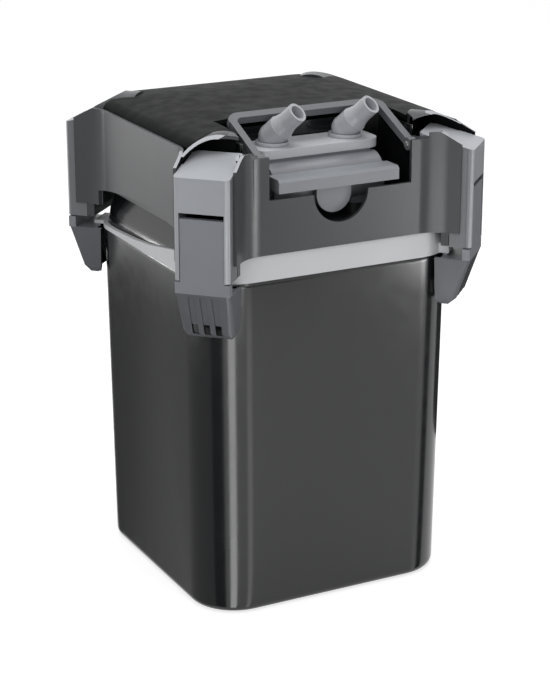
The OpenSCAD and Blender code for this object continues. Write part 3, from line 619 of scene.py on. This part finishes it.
def grid_layout(name):
    """Copies on the points of a level grid."""
    g = Layout(
        name,
        [
            ("Width", "Float", 0.1),
            ("Depth", "Float", 0.1),
            ("Across", "Int", 2),
            ("Along", "Int", 2),
            ("Centre", "Vector", (0, 0, 0)),
        ],
    )
    grid = g.add(
        "GeometryNodeMeshGrid",
        {
            "Size X": g.given("Width"),
            "Size Y": g.given("Depth"),
            "Vertices X": g.given("Across"),
            "Vertices Y": g.given("Along"),
        },
    )
    moved = g.add("GeometryNodeSetPosition", {"Geometry": grid.outputs[0], "Offset": g.given("Centre")})
    copies = g.add("GeometryNodeInstanceOnPoints", {"Points": moved.outputs[0], "Instance": g.given("Geometry")})
    return g.close(copies)


def screw_form(shank, head, head_h, reach):
    """A pan-head screw that points up, with a six-lobed drive sunk in its head, head down."""
    bm = lathe(
        [
            (0, -head_h * 0.45),
            (head * 0.42, -head_h * 0.45),
            (head * 0.46, -head_h),
            (head * 0.86, -head_h),
            (head * 0.97, -head_h * 0.8),
            (head, -head_h * 0.45),
            (head, 0),
            (shank, 0),
            (shank, reach),
            (0, reach),
        ],
        24,
    )
    for v in bm.verts:
        r = math.hypot(v.co.x, v.co.y)
        if 1e-6 < r < head * 0.5 and v.co.z < 0:
            lobe = 1 + 0.16 * math.cos(6 * math.atan2(v.co.y, v.co.x))
            v.co.x *= lobe
            v.co.y *= lobe
    return bm


# ---------------------------------------------------------------- operators


class FILTER_OT_stage(bpy.types.Operator):
    """Camera, pale floor, world and lamps"""

    bl_idname = "filter.stage"
    bl_label = "Stage"

    def execute(self, context):
        scene = context.scene
        azimuth, height = math.radians(CAMERA_TURN), math.radians(CAMERA_HEIGHT)
        back = Vector(
            (math.sin(azimuth) * math.cos(height), -math.cos(azimuth) * math.cos(height), math.sin(height))
        )
        right = Vector((math.cos(azimuth), math.sin(azimuth), 0))
        up = back.cross(right)
        camera = bpy.data.cameras.new("Camera")
        camera.lens = CAMERA_LENS
        camera.sensor_width = CAMERA_FILM
        camera.sensor_fit = "AUTO"
        camera.clip_end = 60
        holder = placed("Camera", camera)
        turned = Matrix((right, up, back)).transposed().to_4x4()
        holder.matrix_world = Matrix.Translation(CAMERA_PLACE) @ turned
        scene.camera = holder
        scene.view_settings.view_transform = "Standard"
        self.floor()
        self.world(scene)
        self.lamps()
        self.cards(holder.matrix_world.translation)
        return {"FINISHED"}

    @staticmethod
    def glowing(name):
        """An empty material with its output, and a white glow in it."""
        material = bpy.data.materials.new(name)
        material.use_nodes = True
        tree = material.node_tree
        tree.nodes.clear()
        glow = tree.nodes.new("ShaderNodeEmission")
        glow.inputs["Color"].default_value = (1, 1, 1, 1)
        return material, tree, glow, tree.nodes.new("ShaderNodeOutputMaterial")

    @staticmethod
    def seen(tree):
        """A value that is 1 for the camera and for what glossy and clear surfaces show, and else 0."""
        path = tree.nodes.new("ShaderNodeLightPath")
        value = path.outputs["Is Camera Ray"]
        for ray in ("Is Glossy Ray", "Is Transmission Ray"):
            either = tree.nodes.new("ShaderNodeMath")
            either.operation = "MAXIMUM"
            tree.links.new(value, either.inputs[0])
            tree.links.new(path.outputs[ray], either.inputs[1])
            value = either.outputs[0]
        return value

    def floor(self):
        """Pale floor that glows where it is seen, and keeps the object's shadow."""
        bm = bmesh.new()
        bmesh.ops.create_grid(bm, x_segments=8, y_segments=8, size=FLOOR_REACH)
        mesh = meshed("Floor", bm)
        material, tree, glow, out = self.glowing("Pale floor")
        paper = tree.nodes.new("ShaderNodeBsdfDiffuse")
        paper.inputs["Color"].default_value = (FLOOR_PAPER, FLOOR_PAPER, FLOOR_PAPER, 1)
        level = tree.nodes.new("ShaderNodeMath")
        level.operation = "MULTIPLY"
        level.inputs[1].default_value = FLOOR_GLOW
        tree.links.new(self.seen(tree), level.inputs[0])
        tree.links.new(level.outputs[0], glow.inputs["Strength"])
        add = tree.nodes.new("ShaderNodeAddShader")
        tree.links.new(paper.outputs[0], add.inputs[0])
        tree.links.new(glow.outputs[0], add.inputs[1])
        tree.links.new(add.outputs[0], out.inputs["Surface"])
        mesh.materials.append(material)
        placed("Floor", mesh)

    def world(self, scene):
        """Soft light from all round, which is white where it is seen."""
        world = bpy.data.worlds.new("Studio")
        scene.world = world
        world.use_nodes = True
        tree = world.node_tree
        tree.nodes.clear()
        mix = tree.nodes.new("ShaderNodeMixShader")
        tree.links.new(self.seen(tree), mix.inputs[0])
        for into, strength in ((1, WORLD_LIGHT), (2, 1.0)):
            light = tree.nodes.new("ShaderNodeBackground")
            light.inputs["Color"].default_value = (1, 1, 1, 1)
            light.inputs["Strength"].default_value = strength
            tree.links.new(light.outputs[0], mix.inputs[into])
        out = tree.nodes.new("ShaderNodeOutputWorld")
        tree.links.new(mix.outputs[0], out.inputs["Surface"])

    def lamps(self):
        for name, place, size, power in LAMPS:
            lamp = bpy.data.lights.new(name, "AREA")
            lamp.shape = "RECTANGLE"
            lamp.size, lamp.size_y = size
            lamp.energy = power
            obj = placed(name, lamp)
            obj.location = place
            obj.rotation_euler = (Vector(place) - LAMP_AIM).to_track_quat("Z", "Y").to_euler()
            obj.visible_camera = False

    @staticmethod
    def ray(x, y, turn, near, far):
        """A line on the floor from near to far of a point, turned that many degrees from the front."""
        a = math.radians(turn)
        way = Vector((-math.sin(a), -math.cos(a), 0))
        point = Vector((x, y, CARD_HEIGHT))
        return point + near * way, point + far * way

    def cards(self, eye):
        """Bright and dark cards that lie round the canister and show only in its gloss."""
        centre = CARD_SIDE - CARD_RADIUS

        def gleam(x, y, turn, near=0.0, far=0.86):
            """The line that the eye sees in a glossy wall at x, y whose face is turned that far from the front."""
            return self.ray(x, y, 2 * turn - math.degrees(math.atan2(x - eye.x, y - eye.y)), near, far)

        def corner(turn, x=-1, y=-1):
            """The line that shows in a rounded corner, where its face is turned that far."""
            t = math.radians(turn)
            return gleam(x * centre - CARD_RADIUS * math.sin(t), y * centre - CARD_RADIUS * math.cos(t), turn)

        strips = [
            (corner(a), corner(b), level)
            for a, b, level in ((3.5, 8.5, 2.4), (22, 30, 6.0), (36, 50, 0.06), (50, 90, 0.36))
        ]
        strips += [(corner(a, 1), corner(b, 1), level) for a, b, level in ((-4, -9, 1.4), (-11, -20, 0.08))]
        edge = [gleam(-CARD_SIDE, -centre + 2 * centre * i / 6, 90) for i in range(7)]
        strips += [(a, b, 0.44 - 0.05 * i) for i, (a, b) in enumerate(zip(edge, edge[1:]))]
        strips += [(corner(90, -1, 1), corner(103, -1, 1), 0.15)]
        strips += [
            (self.ray(*point, start, near, far), self.ray(*point, stop, near, far), level)
            for point, start, stop, near, far, level in CARD_SECTORS
        ]
        for i, (a, b, level) in enumerate(strips):
            mesh = bpy.data.meshes.new(f"card_{i}")
            mesh.from_pydata([a[0], a[1], b[1], b[0]], [], [(0, 1, 2, 3)])
            material, tree, glow, out = self.glowing(f"card_{i}")
            glow.inputs["Strength"].default_value = level
            tree.links.new(glow.outputs[0], out.inputs["Surface"])
            mesh.materials.append(material)
            obj = placed(f"card_{i}", mesh)
            obj.visible_camera = obj.visible_diffuse = obj.visible_shadow = obj.visible_transmission = False


class FILTER_OT_canister(bpy.types.Operator):
    """Square canister with rounded corners and its four rubber pads"""

    bl_idname = "filter.canister"
    bl_label = "Canister"

    def execute(self, context):
        s = sizes()
        top, width, radius = s.body_height, s.body_width, s.corner_radius
        low = width - 2 * s.draft
        # Underside of the floor, height and depth of the rounding at its edge, radius of the cove inside, and
        # least radius of a corner
        under, rise, tuck, cove, least = 0.001, 0.006, 0.005, 0.004, 0.004
        foot = under + rise
        # Rounding of the rim, and a point on it
        lip, on_lip = 0.0006, 0.0002

        def ring(z, inset, at=None):
            """The outline at height z, set in from the outer wall, and moved to another height if one is given."""
            across = low + (width - low) * (max(z, foot) - foot) / (top - foot)
            return square_ring(across - 2 * inset, max(radius - inset, least), at if at is not None else z)

        rings = []
        for i in range(7):
            a = math.radians(90 - 15 * i)
            rings.append(ring(foot, tuck * (1 - math.cos(a)), under + rise * (1 - math.sin(a))))
        rings += [ring(z, 0) for z in (0.0085, 0.04, 0.1, 0.16, 0.22, top - 0.004, top - lip)]
        rings += [ring(top - on_lip, on_lip), ring(top, lip)]
        rings += [ring(top, s.wall - lip), ring(top - on_lip, s.wall - on_lip)]
        rings += [ring(z, s.wall) for z in (top - lip, top - 0.004, 0.2, 0.1, 0.012)]
        bottom = under + s.floor
        for i in range(1, 5):
            a = math.radians(22.5 * i)
            rings.append(ring(bottom + cove, s.wall + cove * (1 - math.cos(a)), bottom + cove * (1 - math.sin(a))))
        bm = loft(rings)
        # Two ribs on the floor, which carry the baskets
        thick, long, high = 0.003, 0.14, 0.004
        for x in (-0.06, 0.06):
            for v in bmesh.ops.create_cube(bm, size=1)["verts"]:
                v.co = Vector((x + v.co.x * thick, v.co.y * long, bottom + high / 2 + v.co.z * high))
        settle("canister_body", meshed("canister_body", bm), "shell_plastic", "canister", ("canister_shell",))
        z = under + 0.002
        pad_form = lathe(
            [
                (0, 0.0005),
                (0.002, 0.0005),
                (0.0026, 0),
                (0.0044, 0),
                (0.005, 0.0005),
                (0.006, 0.0005),
                (0.0066, 0),
                (0.0084, 0),
                (0.009, 0.0006),
                (0.009, z),
                (0, z),
            ],
            40,
        )
        laid_out(
            "foot_pads",
            pad_form,
            grid_layout("Feet on a grid"),
            "pad_rubber",
            "canister",
            ("rubber_pads",),
            {"Width": 0.16, "Depth": 0.16},
        )
        return {"FINISHED"}


class FILTER_OT_collar(bpy.types.Operator):
    """Pale collar on the canister's rim, and the seal in it"""

    bl_idname = "filter.collar"
    bl_label = "Collar"

    def execute(self, context):
        dressed("collar", "collar_plastic", FINE)
        dressed("rim_seal", "seal_rubber", SOFT)
        return {"FINISHED"}


class FILTER_OT_head(bpy.types.Operator):
    """Pump head: housing, panels, lid, the tub round the tap, its screws and the cable gland"""

    bl_idname = "filter.head"
    bl_label = "Head"

    def execute(self, context):
        dressed("head_base", "inner_plastic", PLAIN)
        panels = dressed("head_frame", "frame_plastic", FINE)
        self.aprons(panels)
        # Painted shade: the back, sides and underside of each arch take the black lid plastic
        second_finish(panels, finish("lid_plastic"), self.painted_niche_shade)
        # Painted highlight: the front edge of each arch takes the pale cap plastic
        second_finish(panels, finish("cap_plastic"), self.painted_rim_highlight)
        dressed("lid", "lid_plastic", FINE)
        dressed("tap_well", "inner_plastic", CRISP)
        dressed("cable_gland", "gland_rubber", PLAIN)
        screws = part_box("frame_screws")
        head_h = screws[1][2] - screws[0][2]
        form = screw_form(0.0034, 0.0035, head_h, 0.0)
        for v in form.verts:
            v.co.z = -v.co.z
        bmesh.ops.reverse_faces(form, faces=form.faces)
        laid_out(
            "panel_screws",
            form,
            grid_layout("Screws on a grid"),
            "steel",
            "canister",
            ("frame_screws",),
            {"Width": 0.156, "Depth": 0.095, "Centre": (0, 0.0275, screws[0][2])},
        )
        return {"FINISHED"}

    @staticmethod
    def aprons(panels):
        """Adds the short apron under each column's foot, down to the collar's lug."""
        bm = bmesh.new()
        bm.from_mesh(panels.data)
        # Distance out, middle height, thickness, width and height of the apron
        out, middle, thick, wide, tall = 0.149, 0.29045, 0.006, 0.044, 0.0113
        block = Matrix.Translation((out, 0, middle)) @ Matrix.Diagonal((thick, wide, tall, 1))
        for corner in range(4):
            turn = Matrix.Rotation(math.radians(-135 + 90 * corner), 4, "Z")
            bmesh.ops.create_cube(bm, size=1, matrix=turn @ block)
        bm.to_mesh(panels.data)
        bm.free()

    @staticmethod
    def painted_niche_shade(centre, normal):
        """The back, sides and underside of a column's arch, painted black with the lid plastic as shade."""
        for corner in range(4):
            out, across = along(centre, corner)
            lean, _ = along(normal, corner)
            if NICHE_NEAR < out < NICHE_FAR and abs(across) < NICHE_HALF and centre.z > NICHE_FOOT:
                side = abs(lean) < 0.3 and abs(across) > NICHE_SIDE and normal.z < 0.2
                if lean > 0.9 or normal.z < -0.05 or side:
                    return True
        return False

    @staticmethod
    def painted_rim_highlight(centre, normal):
        """The front edge of a column's arch, painted pale with the cap plastic as a highlight."""
        for corner in range(4):
            out, across = along(centre, corner)
            lean, _ = along(normal, corner)
            inside = out > RIM_NEAR and abs(across) < RIM_HALF and centre.z > RIM_FOOT
            if inside and lean > 0.25 and normal.z > 0.3:
                return True
        return False


class FILTER_OT_columns(bpy.types.Operator):
    """The four silver-grey corner columns"""

    bl_idname = "filter.columns"
    bl_label = "Corner columns"

    def execute(self, context):
        # Painted shade: the faces turned across the diagonal, the columns' sides, take the darker grey
        side = variant("column side", "Grey shade painted on column sides", colours().side, 0.4)
        for i, corner in enumerate(CORNERS):
            cap = dressed("cap_" + corner, "cap_plastic", SOFT)
            second_finish(cap, side, lambda centre, normal, i=i: abs(along(normal, i)[1]) > 0.9)
        return {"FINISHED"}


class FILTER_OT_clamps(bpy.types.Operator):
    """The four clamps and their hinge pins"""

    bl_idname = "filter.clamps"
    bl_label = "Clamps"

    def execute(self, context):
        s = sizes()
        grip = variant("grip", "Dark grip plastic", colours().grip, 0.42)
        # Painted shade: the lid plastic's black goes into the grips' hollows and slots
        dark = finish("lid_plastic")
        for i, corner in enumerate(CORNERS):
            clamp = dressed("clamp_" + corner, "clamp_plastic", PLAIN)
            second_finish(clamp, grip, lambda centre, normal: centre.z < CREASE)
            second_finish(clamp, dark, lambda centre, normal, i=i: self.painted_hollow_shade(centre, normal, i))
        r, half = s.pin_radius, 0.0205
        pin = lathe(
            [
                (0, -half),
                (r * 0.6, -half + r * 0.08),
                (r * 0.92, -half + r * 0.35),
                (r, -half + r * 0.7),
                (r, half - r * 0.7),
                (r * 0.92, half - r * 0.35),
                (r * 0.6, half - r * 0.08),
                (0, half),
            ],
            24,
        )
        pin.transform(Matrix.Rotation(math.radians(90), 4, "X"))
        low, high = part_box("clamp_pins")
        laid_out(
            "hinge_pins",
            pin,
            ring_layout("Pins round the corners"),
            "steel",
            "canister",
            ("clamp_pins",),
            {
                "Count": 4,
                "Radius": s.pin_circle,
                "Start": math.radians(-135),
                "Centre": (0, 0, (low[2] + high[2]) / 2),
            },
        )
        return {"FINISHED"}

    @staticmethod
    def painted_hollow_shade(centre, normal, corner):
        """The inside of a grip and of its slots, painted black with the lid plastic as shade."""
        lean, turn = along(normal, corner)
        across = abs(along(centre, corner)[1])
        if not HOLLOW_FOOT < centre.z < CREASE or across > HOLLOW_HALF:
            return False
        return lean < -0.3 or centre.z < SLOT_TOP and abs(turn) > 0.9 and across < SLOT_HALF


class FILTER_OT_tap(bpy.types.Operator):
    """Tap block with its plate, rotary barrel, seals and lever"""

    bl_idname = "filter.tap"
    bl_label = "Tap"

    def execute(self, context):
        dressed("tap_housing", "tap_plastic", PLAIN)
        dressed("tap_plate", "valve_plastic", ROUND, segments=3)
        dressed("tap_barrel", "valve_plastic", CRISP)
        dressed("barrel_seals", "seal_rubber", CRISP)
        dressed("tap_lever", "lever_plastic", SOFT)
        return {"FINISHED"}


class FILTER_OT_tails(bpy.types.Operator):
    """The two turning hose tails, their seals and rings"""

    bl_idname = "filter.tails"
    bl_label = "Hose tails"

    def execute(self, context):
        for side in ("left", "right"):
            dressed("tail_" + side, "tail_plastic", FINE, sharp=50)
            dressed("tail_seal_" + side, "seal_rubber", CRISP)
        dressed("tail_rings", "tail_plastic", SOFT)
        return {"FINISHED"}


class FILTER_OT_handle(bpy.types.Operator):
    """Carry handle and its pivot pins"""

    bl_idname = "filter.handle"
    bl_label = "Carry handle"

    def execute(self, context):
        dressed("carry_handle", "handle_plastic", ROUND, segments=3)
        dressed("handle_pins", "steel", CRISP)
        return {"FINISHED"}


class FILTER_OT_pump(bpy.types.Operator):
    """Pump: risers, motor pot, rotor, impeller, shaft, bushes, volute and its screws"""

    bl_idname = "filter.pump"
    bl_label = "Pump"

    def execute(self, context):
        s = sizes()
        for node, slot in (
            ("riser_pipes", "pipe_plastic"),
            ("motor_pot", "pipe_plastic"),
            ("rotor", "magnet"),
            ("impeller_shaft", "shaft_rod"),
            ("shaft_bushes", "seal_rubber"),
            ("volute_cover", "pipe_plastic"),
        ):
            dressed(node, slot, FINE)
        low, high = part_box("impeller")
        axis_y = (low[1] + high[1]) / 2
        # Top of the disc, its thickness and the chamfer of its rim, and the hub's bore and radius
        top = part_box("impeller_shaft")[0][2] + 0.0163
        disc, chamfer, bore, hub_r = 0.0015, 0.0003, 0.00155, 0.005
        hub = lathe(
            [
                (bore, low[2]),
                (0.0046, low[2]),
                (hub_r, low[2] + 0.0004),
                (hub_r, top - disc),
                (s.blade_radius - chamfer, top - disc),
                (s.blade_radius, top - 0.0012),
                (s.blade_radius, top - chamfer),
                (s.blade_radius - chamfer, top),
                (hub_r, top),
                (hub_r, high[2]),
                (bore, high[2]),
                (bore, low[2]),
            ],
            48,
            (0, axis_y),
        )
        bmesh.ops.remove_doubles(hub, verts=hub.verts, dist=1e-7)
        bmesh.ops.recalc_face_normals(hub, faces=hub.faces)
        settle("impeller_hub", meshed("impeller_hub", hub), "valve_plastic", "impeller", ("impeller",))
        blade = bmesh.new()
        steps, thick = 8, 0.0009
        edges = ((-1, low[2] + 0.0002), (1, low[2] + 0.0002), (1, top - 0.001), (-1, top - 0.001))
        rows = []
        for i in range(steps + 1):
            r = 0.0045 + (s.blade_radius - 0.0049) * i / steps
            lean = math.radians(-26) * (i / steps) ** 1.3
            across = Vector((-math.sin(lean), math.cos(lean), 0))
            middle = Vector((r * math.cos(lean), r * math.sin(lean), 0))
            t = thick * (1 - 0.35 * i / steps)
            rows.append([blade.verts.new(middle + across * side * t + Vector((0, 0, z))) for side, z in edges])
        for a, b in zip(rows, rows[1:]):
            for i in range(4):
                j = (i + 1) % 4
                blade.faces.new((a[i], a[j], b[j], b[i]))
        blade.faces.new(rows[0])
        blade.faces.new(rows[-1])
        bmesh.ops.recalc_face_normals(blade, faces=blade.faces)
        laid_out(
            "impeller_blades",
            blade,
            ring_layout("Blades round the hub"),
            "valve_plastic",
            "impeller",
            ("impeller",),
            {"Count": s.blades, "Radius": 0.0, "Centre": (0, axis_y, 0)},
        )
        low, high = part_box("volute_screws")
        head_h = 0.002
        form = screw_form(0.0015, 0.003, head_h, high[2] - low[2] - head_h)
        laid_out(
            "cover_screws",
            form,
            ring_layout("Screws round the volute"),
            "steel",
            "canister",
            ("volute_screws",),
            {"Count": 4, "Radius": 0.033, "Start": math.radians(45), "Centre": (0, axis_y, low[2] + head_h)},
        )
        return {"FINISHED"}


class FILTER_OT_media(bpy.types.Operator):
    """Down pipe, media baskets, filter foam and fleece"""

    bl_idname = "filter.media"
    bl_label = "Baskets and media"

    def execute(self, context):
        dressed("down_pipe", "pipe_plastic", FINE)
        for level in ("lower", "middle", "upper"):
            dressed("basket_" + level, "basket_plastic", FINE)
        for node, material in (
            ("sponge_lower", None),
            ("sponge_middle", None),
            ("fleece_upper", finish("fleece")),
        ):
            self.block(node, material)
        return {"FINISHED"}

    def block(self, node, material):
        """A block of foam with soft edges and an uneven skin, inside the room its basket leaves."""
        # Least depth and unevenness of the skin, fineness of its dents, and gap to the box of the solid
        depth, swell, dents, gap = 0.0003, 0.0007, 45, 0.0001
        obj = placed(node + "_plain", meshed(node + "_plain", merged(node)))
        skin = obj.modifiers.new("Skin", "REMESH")
        skin.mode = "VOXEL"
        skin.voxel_size = 0.004
        relax = obj.modifiers.new("Relax", "SMOOTH")
        relax.iterations = 3
        mesh = applied(obj)
        low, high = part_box(node)
        for v in mesh.vertices:
            dent = swell * (1 + noise.noise(v.co * dents)) + depth
            v.co -= v.normal * dent
            v.co = Vector([min(max(c, a + gap), b - gap) for c, a, b in zip(v.co, low, high)])
        obj = settle(node + "_block", mesh, "media_foam", NODE_BODY[node], (node,), 60, material)


class FILTER_PT_panel(bpy.types.Panel):
    """Sizes, colours and building steps of the canister filter"""

    bl_idname = "FILTER_PT_panel"
    bl_label = "Canister filter"
    bl_space_type = "VIEW_3D"
    bl_region_type = "UI"
    bl_category = "Filter"

    def draw(self, context):
        layout = self.layout
        layout.label(text="Sizes")
        for name in FilterSizes.__annotations__:
            layout.prop(context.scene.filter_sizes, name)
        layout.label(text="Colours")
        for name in FilterColours.__annotations__:
            layout.prop(context.scene.filter_colours, name)
        layout.label(text="Build")
        for step in STEPS:
            layout.operator(step.bl_idname)


STEPS = (
    FILTER_OT_stage,
    FILTER_OT_canister,
    FILTER_OT_collar,
    FILTER_OT_head,
    FILTER_OT_columns,
    FILTER_OT_clamps,
    FILTER_OT_tap,
    FILTER_OT_tails,
    FILTER_OT_handle,
    FILTER_OT_pump,
    FILTER_OT_media,
)
CLASSES = (FilterSizes, FilterColours, *STEPS, FILTER_PT_panel)


def register():
    for cls in CLASSES:
        bpy.utils.register_class(cls)
    bpy.types.Scene.filter_sizes = PointerProperty(type=FilterSizes)
    bpy.types.Scene.filter_colours = PointerProperty(type=FilterColours)


def unregister():
    del bpy.types.Scene.filter_colours
    del bpy.types.Scene.filter_sizes
    for cls in reversed(CLASSES):
        bpy.utils.unregister_class(cls)


def main():
    register()
    for step in STEPS:
        group, name = step.bl_idname.split(".")
        getattr(getattr(bpy.ops, group), name)()


if __name__ == "__main__":
    main()
